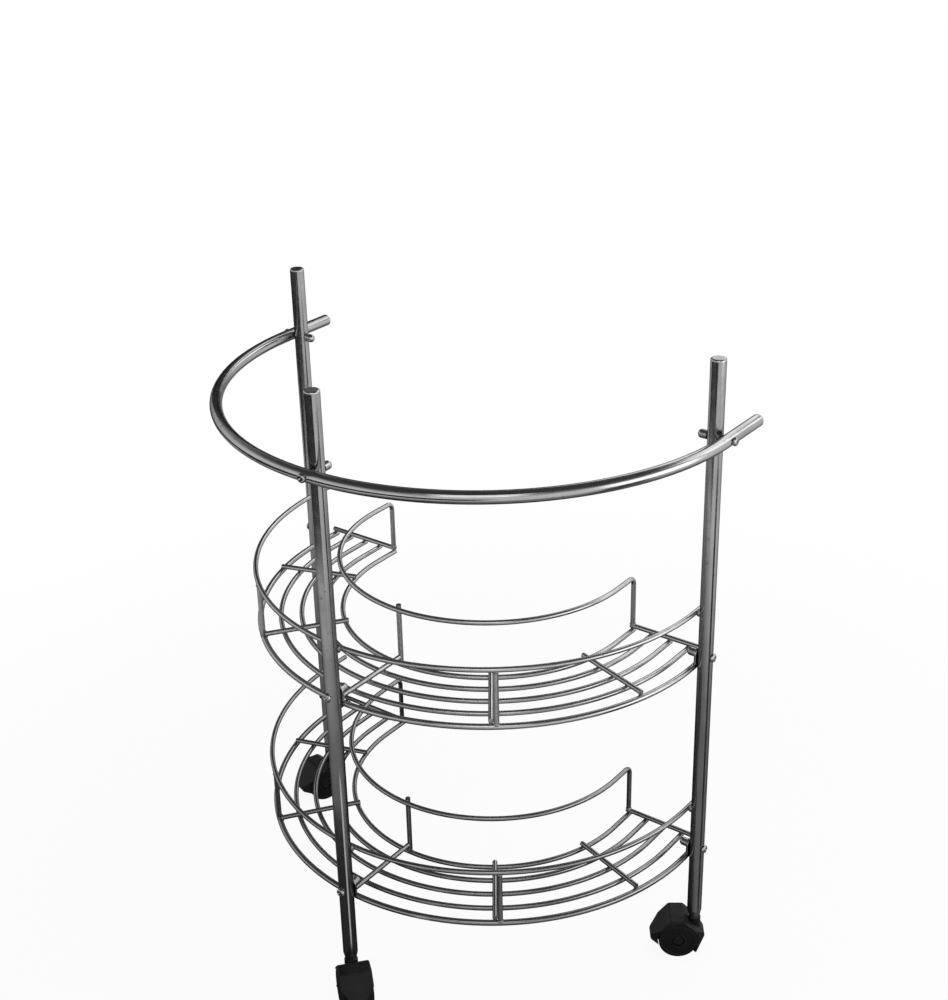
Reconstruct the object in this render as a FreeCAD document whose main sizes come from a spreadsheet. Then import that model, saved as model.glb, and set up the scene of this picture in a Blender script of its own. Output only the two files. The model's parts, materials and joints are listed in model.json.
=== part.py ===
import FreeCAD, Part
import math
import os
from types import SimpleNamespace

import Sketcher

# Wheeled organiser that stands round the drain pipe under a wash basin. Three tube legs carry two
# half-round wire shelves and a towel rail, all open at the back, and each leg runs on a hooded
# twin-wheel caster. Millimetres, floor at Z 0, arc axis (the drain pipe) on Z, front towards -Y.

SIZES = {
    # Shelf wires, about the drain axis
    "outer_ring_radius": 226.0,
    "shelf_depth": 80.0,
    "floor_ring_count": 5,
    "base_wire": 5.6,
    "floor_wire": 4.8,
    "guard_wire": 4.8,
    "rib_wire": 4.8,
    "post_wire": 4.8,
    "shelf_tail": 30.0,
    "guard_rise": 57.0,
    "guard_bend": 7.0,
    "rib_step": 36.0,
    "rib_overhang": 2.0,
    "rib_setback": 0.5,
    "lower_shelf_level": 109.0,
    "shelf_spacing": 212.0,
    "weld_gap": 0.1,
    # Legs and towel rail
    "leg_diameter": 14.0,
    "leg_wall": 1.2,
    "leg_top": 620.0,
    "end_leg_setback": 6.0,
    "seat_gap": 0.1,
    "rail_diameter": 11.5,
    "rail_wall": 1.0,
    "rail_drop": 71.0,
    "rail_tail": 57.0,
    "plug_depth": 14.0,
    "plug_head": 2.4,
    "plug_round": 1.8,
    # Screws, dome nuts and lugs
    "screw_diameter": 4.0,
    "screw_play": 0.15,
    "screw_head_diameter": 8.4,
    "screw_head_height": 2.6,
    "screw_rise": 13.0,
    "nut_diameter": 8.0,
    "nut_length": 9.0,
    "nut_crown": 2.2,
    "lug_width": 11.0,
    "lug_thickness": 2.0,
    "fit_gap": 0.05,
    # Casters
    "wheel_diameter": 38.0,
    "wheel_clearance": 0.8,
    "wheel_side_gap": 0.35,
    "wheel_edge": 1.6,
    "wheel_dish_outer": 15.0,
    "wheel_dish_inner": 8.5,
    "wheel_dish_depth": 1.0,
    "caster_offset": 16.0,
    "hood_width": 32.0,
    "hood_web": 11.0,
    "hood_nose": 8.0,
    "hood_corner": 11.0,
    "hood_crown": 3.6,
    "crown_rear": 8.5,
    "crown_front": 6.0,
    "brow_rise": 2.0,
    "rear_skirt": 4.0,
    "rear_tuck": 2.2,
    "front_skirt": 14.0,
    "front_tuck": 10.0,
    "tip_width": 4.5,
    "tip_rise": 3.0,
    "keel_drop": 8.0,
    "keel_reach": 6.0,
    "hood_round": 5.0,
    "hood_edge": 1.9,
    "boss_diameter": 13.0,
    "boss_rise": 19.7,
    "boss_relief": 0.3,
    "stem_diameter": 8.0,
    "stem_depth": 16.0,
    "stem_reach": 22.0,
    "stem_flange_diameter": 12.0,
    "stem_flange": 1.0,
    "swivel_gap": 0.3,
    "turning_play": 0.05,
    "socket_collar": 8.0,
    "socket_neck": 10.6,
    "socket_depth": 28.0,
    "axle_diameter": 5.0,
    "axle_cap_diameter": 10.0,
    "axle_cap_height": 1.9,
    "axle_cap_skin": 0.7,
    "hub_recess": 2.8,
    "hub_recess_play": 1.0,
    "cap_gap": 0.3,
    # Where each caster trails, in degrees about its leg from +X towards +Y
    "front_caster_heading": 320.0,
    "left_caster_heading": 250.0,
    "right_caster_heading": 215.0,
}

doc = FreeCAD.newDocument("under_basin_organiser")
sheet = doc.addObject("Spreadsheet::Sheet", "Sizes")
for row, (alias, number) in enumerate(SIZES.items(), start=1):
    sheet.set(f"A{row}", alias)
    sheet.set(f"B{row}", str(number))
    sheet.setAlias(f"B{row}", alias)
doc.recompute()


class Size:
    """A size of the sheet, or one worked out from such sizes: its formula and its present value."""

    def __init__(self, formula, value):
        self.formula = formula
        self.value = value

    def joined(self, sign, other, value):
        return Size(f"({self.formula} {sign} {as_size(other).formula})", value)

    def __add__(self, other):
        return self.joined("+", other, self.value + as_size(other).value)

    def __sub__(self, other):
        return self.joined("-", other, self.value - as_size(other).value)

    def __mul__(self, other):
        return self.joined("*", other, self.value * as_size(other).value)

    def __truediv__(self, other):
        return self.joined("/", other, self.value / as_size(other).value)

    def __neg__(self):
        return Size(f"(-1 * {self.formula})", -self.value)


def as_size(number):
    return number if isinstance(number, Size) else Size(str(number), number)


def sine(angle):
    return Size(f"sin({angle.formula})", math.sin(math.radians(angle.value)))


def cosine(angle):
    return Size(f"cos({angle.formula})", math.cos(math.radians(angle.value)))


s = SimpleNamespace(**{alias: Size(f"Sizes.{alias}", float(sheet.get(alias))) for alias in SIZES})
NONE = as_size(0)
NEARLY_NONE = 0.01

# Sizes that follow from the driving ones
leg_radius = s.leg_diameter / 2
leg_circle = s.outer_ring_radius + s.base_wire / 2 + s.seat_gap + leg_radius
rail_offset = leg_radius + s.seat_gap + s.rail_diameter / 2
rail_radius = leg_circle + rail_offset
inner_ring_radius = s.outer_ring_radius - s.shelf_depth
guard_radius = leg_circle - leg_radius - s.seat_gap - s.guard_wire / 2
rail_level = s.leg_top - s.rail_drop
leg_rim = s.leg_top - s.plug_head
upper_shelf_level = s.lower_shelf_level + s.shelf_spacing
ring_count = int(s.floor_ring_count.value)
ring_pitch = s.shelf_depth / (s.floor_ring_count - 1)
floor_rise = (s.base_wire - s.floor_wire) / 2
rib_rise = s.base_wire / 2 + s.weld_gap + s.rib_wire / 2
end_bar_y = s.shelf_tail - s.rib_wire / 2
screw_hole = s.screw_diameter + s.screw_play * 2
wheel_radius = s.wheel_diameter / 2
well_radius = wheel_radius + s.wheel_clearance
boss_top = wheel_radius + s.boss_rise
collar_bottom = boss_top + s.stem_flange + s.swivel_gap
leg_bottom = collar_bottom + s.socket_collar
wheel_width = (s.hood_width - s.hood_web) / 2 - s.wheel_side_gap * 2

# A leg's own frame has X pointing outwards from the shelves: its place and the way it faces
Station = SimpleNamespace
stations = {
    "front": Station(x=NONE, y=-leg_circle, out_x=0, out_y=-1, heading=s.front_caster_heading),
    "left": Station(x=-leg_circle, y=s.end_leg_setback, out_x=-1, out_y=0, heading=s.left_caster_heading),
    "right": Station(x=leg_circle, y=s.end_leg_setback, out_x=1, out_y=0, heading=s.right_caster_heading),
}
nodes = {}

V = FreeCAD.Vector
UP = V(0, 0, 1)
Constraint = Sketcher.Constraint
START, END, CENTRE = range(1, 4)
ALONG_AXIS, UP_AXIS = range(-1, -3, -1)
ORIGIN = (ALONG_AXIS, START)


def bind(item, prop, size):
    item.setExpression(prop, size.formula)


def place(item, x, y, z, rotation=FreeCAD.Rotation()):
    """Stands an item at a place worked out from the sheet."""
    item.Placement = FreeCAD.Placement(V(x.value, y.value, z.value), rotation)
    for axis, size in (("x", x), ("y", y), ("z", z)):
        bind(item, f"Placement.Base.{axis}", size)
    return item


def keep(item):
    """Marks an item as one named piece of the object."""
    nodes[item.Label] = item
    return item


def group(label, pieces):
    """Alike pieces that share one name, as separate solids."""
    compound = doc.addObject("Part::Compound", label)
    compound.Links = pieces
    return keep(compound)


def constrain(sketch, size, kind, *where):
    index = sketch.addConstraint(Constraint(kind, *where, size.value))
    sketch.setExpression(f"Constraints[{index}]", size.formula)


def pin(sketch, element, point, across, up):
    """Holds a point of a sketch at (across, up) from the sketch's origin."""
    for kind, axis, size in (("DistanceX", UP_AXIS, across), ("DistanceY", ALONG_AXIS, up)):
        if size is NONE:
            sketch.addConstraint(Constraint("PointOnObject", element, point, axis))
        elif size.value > 0:
            constrain(sketch, size, kind, *ORIGIN, element, point)
        else:
            constrain(sketch, -size, kind, element, point, *ORIGIN)


def new_sketch(body, role, lift=NONE):
    """A sketch on one of the body's origin planes, lifted along that plane's normal."""
    sketch = body.newObject("Sketcher::SketchObject", f"{body.Label}_sketch")
    plane = next(item for item in body.Origin.OriginFeatures if item.Role == role)
    sketch.AttachmentSupport = [(plane, "")]
    sketch.MapMode = "FlatFace"
    bind(sketch, "AttachmentOffset.Base.z", lift)
    return sketch


def draw_circle(sketch, diameter, across=NONE, up=NONE):
    circle = Part.Circle(V(across.value, up.value, 0), UP, diameter.value / 2)
    index = sketch.addGeometry(circle)
    pin(sketch, index, CENTRE, across, up)
    constrain(sketch, diameter, "Diameter", index)


def draw_outline(sketch, corners):
    """A closed outline of straight lines through (across, up) corners."""
    points = [V(across.value, up.value, 0) for across, up in corners]
    first = sketch.GeometryCount
    following = list(range(1, len(points))) + [0]
    for index, after in enumerate(following):
        sketch.addGeometry(Part.LineSegment(points[index], points[after]))
    for index, after in enumerate(following):
        sketch.addConstraint(Constraint("Coincident", first + index, END, first + after, START))
    for index, (across, up) in enumerate(corners):
        pin(sketch, first + index, START, across, up)


def pad(body, sketch, length, centred=False):
    feature = body.newObject("PartDesign::Pad", f"{body.Label}_pad")
    feature.Profile = sketch
    feature.Midplane = centred
    bind(feature, "Length", length)
    return feature


def pocket(body, sketch, length, centred=False, along_normal=False):
    feature = body.newObject("PartDesign::Pocket", f"{body.Label}_pocket")
    feature.Profile = sketch
    feature.Midplane = centred
    feature.Reversed = along_normal
    bind(feature, "Length", length)
    return feature


def round_edges(body, radius, chosen):
    """Rounds those edges of the body made so far that the test picks."""
    doc.recompute()
    base = body.Tip
    names = [f"Edge{index}" for index, edge in enumerate(base.Shape.Edges, start=1) if chosen(edge)]
    feature = body.newObject("PartDesign::Fillet", f"{body.Label}_rounding")
    feature.Base = (base, names)
    bind(feature, "Radius", radius)
    return feature


def ring_at(height, radius):
    """Picks the round edge of a turned piece at a height and radius."""

    def chosen(edge):
        if not isinstance(edge.Curve, Part.Circle):
            return False
        near_height = abs(edge.Curve.Center.z - height.value) < NEARLY_NONE
        return near_height and abs(edge.Curve.Radius - radius.value) < NEARLY_NONE

    return chosen


def new_body(label):
    return doc.addObject("PartDesign::Body", label)


def turned(label, corners):
    """A piece turned about its own Z axis from (radius, height) corners of half its section."""
    body = new_body(label)
    sketch = new_sketch(body, "XZ_Plane")
    draw_outline(sketch, corners)
    turn = body.newObject("PartDesign::Revolution", f"{label}_turn")
    turn.Profile = sketch
    turn.ReferenceAxis = (sketch, ["V_Axis"])
    return body


def rod(label, diameter, length):
    cylinder = doc.addObject("Part::Cylinder", label)
    bind(cylinder, "Radius", diameter / 2)
    bind(cylinder, "Height", length)
    return cylinder


def bent_wire(label, radius, diameter, tail, rise, bore=None):
    """A wire or tube bent to a half circle with straight tails, open towards +Y."""
    body = new_body(label)
    path = new_sketch(body, "XY_Plane", rise)
    bend, ends = radius.value, tail.value
    path.addGeometry(Part.LineSegment(V(-bend, ends, 0), V(-bend, 0, 0)))
    path.addGeometry(Part.ArcOfCircle(Part.Circle(V(), UP, bend), math.pi, 2 * math.pi))
    path.addGeometry(Part.LineSegment(V(bend, 0, 0), V(bend, ends, 0)))
    path.addConstraint(Constraint("Coincident", 1, CENTRE, *ORIGIN))
    path.addConstraint(Constraint("Tangent", 0, END, 1, START))
    path.addConstraint(Constraint("Tangent", 1, END, 2, START))
    path.addConstraint(Constraint("Vertical", 0))
    path.addConstraint(Constraint("Vertical", 2))
    constrain(path, radius, "Radius", 1)
    constrain(path, tail, "DistanceY", 0, END, 0, START)
    constrain(path, tail, "DistanceY", 2, START, 2, END)
    section = new_sketch(body, "XZ_Plane", -tail)
    draw_circle(section, diameter, -radius, rise)
    if bore:
        draw_circle(section, bore, -radius, rise)
    doc.recompute()
    pipe = body.newObject("PartDesign::AdditivePipe", f"{label}_pipe")
    pipe.Profile = section
    pipe.Spine = (path, ["Edge1", "Edge2", "Edge3"])
    return body


def at_leg(item, station, out, z, rotation=FreeCAD.Rotation()):
    """Stands an item at a distance outwards from a leg's axis."""
    return place(item, station.x + out * station.out_x, station.y + out * station.out_y, z, rotation)


def facing(station, way):
    """Turns a piece's Z axis outwards from the shelves, or inwards where way is -1."""
    return FreeCAD.Rotation(UP, V(station.out_x * way, station.out_y * way, 0))


def leg_turn(station):
    return FreeCAD.Rotation(UP, math.degrees(math.atan2(station.out_y, station.out_x)))


# Legs


def make_leg(name, station):
    body = new_body(f"leg_{name}")
    section = new_sketch(body, "XY_Plane", leg_bottom)
    draw_circle(section, s.leg_diameter)
    draw_circle(section, s.leg_diameter - s.leg_wall * 2)
    pad(body, section, leg_rim - leg_bottom)
    holes = new_sketch(body, "YZ_Plane")
    for level in (s.lower_shelf_level + s.screw_rise, upper_shelf_level + s.screw_rise, rail_level):
        draw_circle(holes, screw_hole, NONE, level)
    pocket(body, holes, s.leg_diameter * 2, centred=True)
    at_leg(body, station, NONE, NONE, leg_turn(station))
    keep(body)


def make_plug(label, diameter, wall):
    """The plug of a tube's end: a spigot in the tube under a rounded head as wide as the tube."""
    spigot = diameter / 2 - wall - s.fit_gap
    head = diameter / 2
    top = s.plug_depth + s.plug_head
    body = turned(
        label,
        [(NONE, NONE), (spigot, NONE), (spigot, s.plug_depth), (head, s.plug_depth), (head, top), (NONE, top)],
    )
    round_edges(body, s.plug_round, ring_at(top, head))
    return body


def make_socket(label):
    """The bush in a leg's foot: a sleeve in the tube over a tapered collar that the stem turns in."""
    bore = s.stem_diameter / 2 + s.turning_play
    sleeve = leg_radius - s.leg_wall - s.fit_gap
    return turned(
        label,
        [
            (bore, NONE),
            (s.socket_neck / 2, NONE),
            (leg_radius, s.socket_collar),
            (sleeve, s.socket_collar),
            (sleeve, s.socket_collar + s.socket_depth),
            (bore, s.socket_collar + s.socket_depth),
        ],
    )


# Screws and nuts


def make_screw(label, grip):
    """A pan-head screw, tip at Z 0, that clamps the grip and ends inside its dome nut."""
    shank = s.screw_diameter / 2
    head = s.screw_head_diameter / 2
    length = grip + s.nut_length - s.nut_crown - s.fit_gap
    top = length + s.screw_head_height
    body = turned(
        label,
        [(NONE, NONE), (shank, NONE), (shank, length), (head, length), (head, top), (NONE, top)],
    )
    round_edges(body, s.screw_head_height * 0.7, ring_at(top, head))
    return body


def make_nut(label):
    """A dome nut, seat at Z 0, with a blind bore."""
    bore = s.screw_diameter / 2 + s.fit_gap
    outside = s.nut_diameter / 2
    depth = s.nut_length - s.nut_crown
    body = turned(
        label,
        [
            (bore, NONE),
            (outside, NONE),
            (outside, s.nut_length),
            (NONE, s.nut_length),
            (NONE, depth),
            (bore, depth),
        ],
    )
    round_edges(body, outside * 0.8, ring_at(s.nut_length, outside))
    return body


def fasten(prefix, out, back, level):
    """A screw from outside and a dome nut inside at each leg, between two distances from its axis."""
    screws = []
    nuts = []
    grip = out + back
    reach = grip + s.nut_length - s.nut_crown - s.fit_gap
    for name, station in stations.items():
        screw = make_screw(f"{prefix}_screw_{name}", grip)
        screws.append(at_leg(screw, station, out - reach, level, facing(station, 1)))
        nut = make_nut(f"{prefix}_nut_{name}")
        nuts.append(at_leg(nut, station, -back, level, facing(station, -1)))
    group(f"{prefix}_screws", screws)
    group(f"{prefix}_nuts", nuts)


# Shelves


def make_inner_guard(label, level):
    """The inner guard wire: it follows the inner ring and bends down on to the end bars."""
    foot = rib_rise + s.rib_wire / 2 + s.weld_gap
    radius, bend, end = inner_ring_radius.value, s.guard_bend.value, end_bar_y.value
    low, high = foot.value, s.guard_rise.value
    knee = bend * (1 - math.sqrt(0.5))

    def side(x):
        upright = Part.LineSegment(V(x, end, low), V(x, end, high - bend))
        corner = Part.Arc(V(x, end, high - bend), V(x, end - knee, high - knee), V(x, end - bend, high))
        run = Part.LineSegment(V(x, end - bend, high), V(x, 0, high))
        return [upright.toShape(), corner.toShape(), run.toShape()]

    front = Part.Arc(V(-radius, 0, high), V(0, -radius, high), V(radius, 0, high)).toShape()
    path = doc.addObject("Part::Feature", f"{label}_path")
    path.Shape = Part.Wire(side(-radius) + [front] + side(radius)[::-1])
    section = doc.addObject("Part::Circle", f"{label}_section")
    bind(section, "Radius", s.guard_wire / 2)
    place(section, -inner_ring_radius, end_bar_y, foot)
    sweep = doc.addObject("Part::Sweep", label)
    sweep.Sections = [section]
    sweep.Spine = (path, [f"Edge{index}" for index in range(1, len(path.Shape.Edges) + 1)])
    sweep.Solid = True
    place(sweep, NONE, NONE, level)
    keep(sweep)


def make_ribs(prefix, level):
    """Straight bars across the floor rings: five spokes, and one across each pair of tails."""
    inner = inner_ring_radius - s.rib_overhang
    spoke = s.outer_ring_radius - s.rib_setback - inner
    ribs = []
    for number in (-2, -1, 0, 1, 2):
        angle = s.rib_step * number
        rib = rod(f"{prefix}_rib_{number + 3}", s.rib_wire, spoke)
        heading = V(sine(angle).value, -cosine(angle).value, 0)
        turn = FreeCAD.Rotation(UP, heading)
        ribs.append(place(rib, inner * sine(angle), -(inner * cosine(angle)), level + rib_rise, turn))
    group(f"{prefix}_ribs", ribs)
    bars = []
    length = s.shelf_depth + s.rib_overhang * 2
    for name, way in (("left", -1), ("right", 1)):
        bar = rod(f"{prefix}_end_bar_{name}", s.rib_wire, length)
        turn = FreeCAD.Rotation(UP, V(way, 0, 0))
        bars.append(place(bar, (inner_ring_radius - s.rib_overhang) * way, end_bar_y, level + rib_rise, turn))
    group(f"{prefix}_end_bars", bars)


def make_posts(prefix, level):
    """Uprights: two between the outer ring and its guard, beyond a rib each, and one at the inner pair."""
    height = s.guard_rise - (s.base_wire + s.guard_wire) / 2 - s.weld_gap * 2
    reach = (s.outer_ring_radius + guard_radius) / 2
    beside = (s.rib_wire + s.post_wire) / 2 + s.weld_gap
    foot = level + s.base_wire / 2 + s.weld_gap
    posts = []
    for name, way in (("left", -1), ("right", 1)):
        angle = s.rib_step * way
        post = rod(f"{prefix}_post_{name}", s.post_wire, height)
        x = reach * sine(angle) + beside * cosine(angle) * way
        y = beside * sine(angle) * way - reach * cosine(angle)
        posts.append(place(post, x, y, foot))
    group(f"{prefix}_outer_posts", posts)
    inner_height = s.base_wire / 2 + s.guard_rise + s.guard_wire / 2
    inner_reach = inner_ring_radius - s.floor_wire / 2 - s.weld_gap - s.post_wire / 2
    post = rod(f"{prefix}_inner_post", s.post_wire, inner_height)
    keep(place(post, NONE, -inner_reach, level - s.base_wire / 2))


def make_lug(label, station, level):
    """A drilled plate standing on the outer ring, with a round top, for the screw through the leg."""
    body = new_body(label)
    half = s.lug_width / 2
    rise = s.screw_rise - s.base_wire / 2 - s.weld_gap
    sketch = new_sketch(body, "YZ_Plane")
    low, up = half.value, rise.value
    sketch.addGeometry(Part.LineSegment(V(-low, 0, 0), V(low, 0, 0)))
    sketch.addGeometry(Part.LineSegment(V(low, 0, 0), V(low, up, 0)))
    sketch.addGeometry(Part.ArcOfCircle(Part.Circle(V(0, up, 0), UP, low), 0, math.pi))
    sketch.addGeometry(Part.LineSegment(V(-low, up, 0), V(-low, 0, 0)))
    sketch.addConstraint(Constraint("Coincident", 0, END, 1, START))
    sketch.addConstraint(Constraint("Tangent", 1, END, 2, START))
    sketch.addConstraint(Constraint("Tangent", 2, END, 3, START))
    sketch.addConstraint(Constraint("Coincident", 3, END, 0, START))
    sketch.addConstraint(Constraint("Horizontal", 0))
    sketch.addConstraint(Constraint("Vertical", 1))
    pin(sketch, 2, CENTRE, NONE, rise)
    sketch.addConstraint(Constraint("PointOnObject", 0, START, ALONG_AXIS))
    constrain(sketch, half, "Radius", 2)
    draw_circle(sketch, screw_hole, NONE, rise)
    pad(body, sketch, s.lug_thickness)
    out = -(leg_radius + s.seat_gap + s.lug_thickness)
    return at_leg(body, station, out, level + s.base_wire / 2 + s.weld_gap, leg_turn(station))


def make_shelf(prefix, level):
    base = bent_wire(f"{prefix}_base_ring", s.outer_ring_radius, s.base_wire, s.shelf_tail, NONE)
    keep(place(base, NONE, NONE, level))
    for number in range(1, ring_count):
        radius = inner_ring_radius + ring_pitch * (number - 1)
        ring = bent_wire(f"{prefix}_floor_ring_{number}", radius, s.floor_wire, s.shelf_tail, floor_rise)
        keep(place(ring, NONE, NONE, level))
    guard = bent_wire(f"{prefix}_guard_ring", guard_radius, s.guard_wire, s.shelf_tail, s.guard_rise)
    keep(place(guard, NONE, NONE, level))
    make_inner_guard(f"{prefix}_inner_guard", level)
    make_ribs(prefix, level)
    make_posts(prefix, level)
    group(f"{prefix}_lugs", [make_lug(f"{prefix}_lug_{name}", leg, level) for name, leg in stations.items()])
    fasten(prefix, leg_radius, leg_radius + s.seat_gap + s.lug_thickness, level + s.screw_rise)


# Towel rail


def make_rail():
    bore = s.rail_diameter - s.rail_wall * 2
    rail = bent_wire("towel_rail", rail_radius, s.rail_diameter, s.rail_tail, rail_level, bore)
    front_hole = new_sketch(rail, "XZ_Plane")
    draw_circle(front_hole, screw_hole, NONE, rail_level)
    pocket(rail, front_hole, rail_radius * 4, centred=True)
    end_holes = new_sketch(rail, "YZ_Plane")
    draw_circle(end_holes, screw_hole, s.end_leg_setback, rail_level)
    pocket(rail, end_holes, rail_radius * 4, centred=True)
    keep(rail)
    plugs = []
    for name, way in (("left", -1), ("right", 1)):
        plug = make_plug(f"towel_rail_plug_{name}", s.rail_diameter, s.rail_wall)
        turn = FreeCAD.Rotation(UP, V(0, 1, 0))
        plugs.append(place(plug, rail_radius * way, s.rail_tail - s.plug_depth, rail_level, turn))
    group("towel_rail_plugs", plugs)
    fasten("towel_rail", rail_offset + s.rail_diameter / 2, leg_radius, rail_level)


# Casters, each in a frame with the stem on Z, the floor at Z 0 and the wheels trailing towards -X


def make_hood(label):
    """The moulded hood: a web between the wheels under a canopy, with a boss for the stem."""
    body = new_body(label)
    profile = new_sketch(body, "XZ_Plane")
    nose = well_radius + s.hood_nose
    crown = wheel_radius + well_radius + s.hood_crown
    wheel_x = -s.caster_offset
    corners = [
        (wheel_x - nose + s.rear_tuck, wheel_radius - s.rear_skirt),
        (wheel_x - nose, wheel_radius),
        (wheel_x - s.crown_rear, crown),
        (wheel_x + s.crown_front, crown),
        (wheel_x + nose, wheel_radius + s.brow_rise),
        (wheel_x + nose - s.front_tuck, wheel_radius - s.front_skirt),
        (wheel_x + nose - s.front_tuck - s.tip_width, wheel_radius - s.front_skirt + s.tip_rise),
        (wheel_x + s.keel_reach, wheel_radius - s.keel_drop),
        (wheel_x - s.keel_reach, wheel_radius - s.keel_drop),
    ]
    draw_outline(profile, corners)
    pad(body, profile, s.hood_width, centred=True)
    bends = [(across.value, up.value) for across, up in corners[1:5]]

    def at_bend(edge):
        middle = edge.CenterOfMass
        across = abs(edge.BoundBox.YLength - s.hood_width.value) < NEARLY_NONE
        return across and any(math.hypot(middle.x - x, middle.z - z) < NEARLY_NONE for x, z in bends)

    def on_side(edge):
        half = s.hood_width.value / 2
        return edge.BoundBox.YLength < NEARLY_NONE and abs(abs(edge.CenterOfMass.y) - half) < NEARLY_NONE

    round_edges(body, s.hood_round, at_bend)
    round_edges(body, s.hood_edge, on_side)
    half = s.hood_width / 2
    rear, front = wheel_x - nose, wheel_x + nose
    plan = new_sketch(body, "XY_Plane")
    far = s.hood_width
    draw_outline(plan, [(rear - far, -far), (front + far, -far), (front + far, far), (rear - far, far)])
    draw_outline(
        plan,
        [
            (rear, -half + s.hood_corner),
            (rear + s.hood_corner, -half),
            (front - s.hood_corner, -half),
            (front, -half + s.hood_corner),
            (front, half - s.hood_corner),
            (front - s.hood_corner, half),
            (rear + s.hood_corner, half),
            (rear, half - s.hood_corner),
        ],
    )
    pocket(body, plan, s.hood_width * 4, centred=True)
    boss = new_sketch(body, "XY_Plane", wheel_radius)
    draw_circle(boss, s.boss_diameter)
    pad(body, boss, s.boss_rise)
    relief = new_sketch(body, "XY_Plane", boss_top)
    draw_circle(relief, s.boss_diameter + s.boss_relief * 2)
    pocket(body, relief, s.boss_rise, along_normal=True)
    for side, along_normal in ((s.hood_web / 2, True), (-(s.hood_web / 2), False)):
        well = new_sketch(body, "XZ_Plane", side)
        draw_circle(well, well_radius * 2, wheel_x, wheel_radius)
        pocket(body, well, s.hood_width, along_normal=along_normal)
    stem_hole = new_sketch(body, "XY_Plane", boss_top)
    draw_circle(stem_hole, s.stem_diameter + s.fit_gap * 2)
    pocket(body, stem_hole, s.stem_depth)
    axle_hole = new_sketch(body, "XZ_Plane")
    draw_circle(axle_hole, s.axle_diameter + s.fit_gap * 2, wheel_x, wheel_radius)
    pocket(body, axle_hole, s.hood_width * 2, centred=True)
    return body


def make_stem(label):
    """The steel stem, foot at Z 0: pressed into the hood up to its flange, turning in the socket."""
    shank = s.stem_diameter / 2
    flange = s.stem_flange_diameter / 2
    foot = s.stem_depth - s.fit_gap
    top = foot + s.stem_flange + s.swivel_gap + s.socket_collar + s.stem_reach
    body = turned(
        label,
        [
            (NONE, NONE),
            (shank, NONE),
            (shank, foot),
            (flange, foot),
            (flange, foot + s.stem_flange),
            (shank, foot + s.stem_flange),
            (shank, top),
            (NONE, top),
        ],
    )
    round_edges(body, s.stem_flange, ring_at(top, shank))
    return body


def make_wheel(label):
    """One wheel, inner face at Z 0: rounded tread, dished outer face and a recess for the axle cap."""
    bore = s.axle_diameter / 2 + s.turning_play
    recess = s.axle_cap_diameter / 2 + s.hub_recess_play
    floor = wheel_width - s.hub_recess
    dish = wheel_width - s.wheel_dish_depth
    body = turned(
        label,
        [
            (bore, NONE),
            (wheel_radius, NONE),
            (wheel_radius, wheel_width),
            (s.wheel_dish_outer, wheel_width),
            (s.wheel_dish_outer, dish),
            (s.wheel_dish_inner, dish),
            (s.wheel_dish_inner, wheel_width),
            (recess, wheel_width),
            (recess, floor),
            (bore, floor),
        ],
    )
    tread_inner = ring_at(NONE, wheel_radius)
    tread_outer = ring_at(wheel_width, wheel_radius)
    round_edges(body, s.wheel_edge, lambda edge: tread_inner(edge) or tread_outer(edge))
    return body


def make_axle_cap(label):
    """The push-on cap that holds a wheel on the axle, mouth at Z 0."""
    bore = s.axle_diameter / 2 + s.fit_gap
    outside = s.axle_cap_diameter / 2
    depth = s.axle_cap_height - s.axle_cap_skin
    body = turned(
        label,
        [
            (bore, NONE),
            (outside, NONE),
            (outside, s.axle_cap_height),
            (NONE, s.axle_cap_height),
            (NONE, depth),
            (bore, depth),
        ],
    )
    round_edges(body, s.axle_cap_height / 2, ring_at(s.axle_cap_height, outside))
    return body


def make_caster(name, station):
    prefix = f"{name}_caster"
    turn = station.heading - 180
    sideways = V(-sine(turn).value, cosine(turn).value, 0)

    def at_caster(item, back, across, z, rotation):
        """Stands an item behind the stem and across the caster, both along its own axes."""
        x = station.x - back * cosine(turn) - across * sine(turn)
        y = station.y - back * sine(turn) + across * cosine(turn)
        return place(item, x, y, z, rotation)

    upright = FreeCAD.Rotation(UP, turn.value)
    keep(at_caster(make_hood(f"{prefix}_hood"), NONE, NONE, NONE, upright))
    foot = boss_top - s.stem_depth + s.fit_gap
    keep(at_caster(make_stem(f"{prefix}_stem"), NONE, NONE, foot, upright))
    inner = s.hood_web / 2 + s.wheel_side_gap
    cap_seat = inner + wheel_width - s.hub_recess + s.cap_gap
    axle_half = cap_seat + s.axle_cap_height - s.axle_cap_skin - s.fit_gap
    axle = rod(f"{prefix}_axle", s.axle_diameter, axle_half * 2)
    keep(at_caster(axle, s.caster_offset, -axle_half, wheel_radius, FreeCAD.Rotation(UP, sideways)))
    caps = []
    for side, way in (("left", 1), ("right", -1)):
        across = FreeCAD.Rotation(UP, sideways * way)
        wheel = make_wheel(f"{prefix}_wheel_{side}")
        keep(at_caster(wheel, s.caster_offset, inner * way, wheel_radius, across))
        cap = make_axle_cap(f"{prefix}_axle_cap_{side}")
        caps.append(at_caster(cap, s.caster_offset, cap_seat * way, wheel_radius, across))
    group(f"{prefix}_axle_caps", caps)


plugs = []
sockets = []
for name, station in stations.items():
    make_leg(name, station)
    plug = make_plug(f"leg_top_plug_{name}", s.leg_diameter, s.leg_wall)
    plugs.append(at_leg(plug, station, NONE, leg_rim - s.plug_depth))
    sockets.append(at_leg(make_socket(f"caster_socket_{name}"), station, NONE, collar_bottom))
    make_caster(name, station)
group("leg_top_plugs", plugs)
group("caster_sockets", sockets)
make_rail()
make_shelf("lower_shelf", s.lower_shelf_level)
make_shelf("upper_shelf", upper_shelf_level)
doc.recompute()

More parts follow.
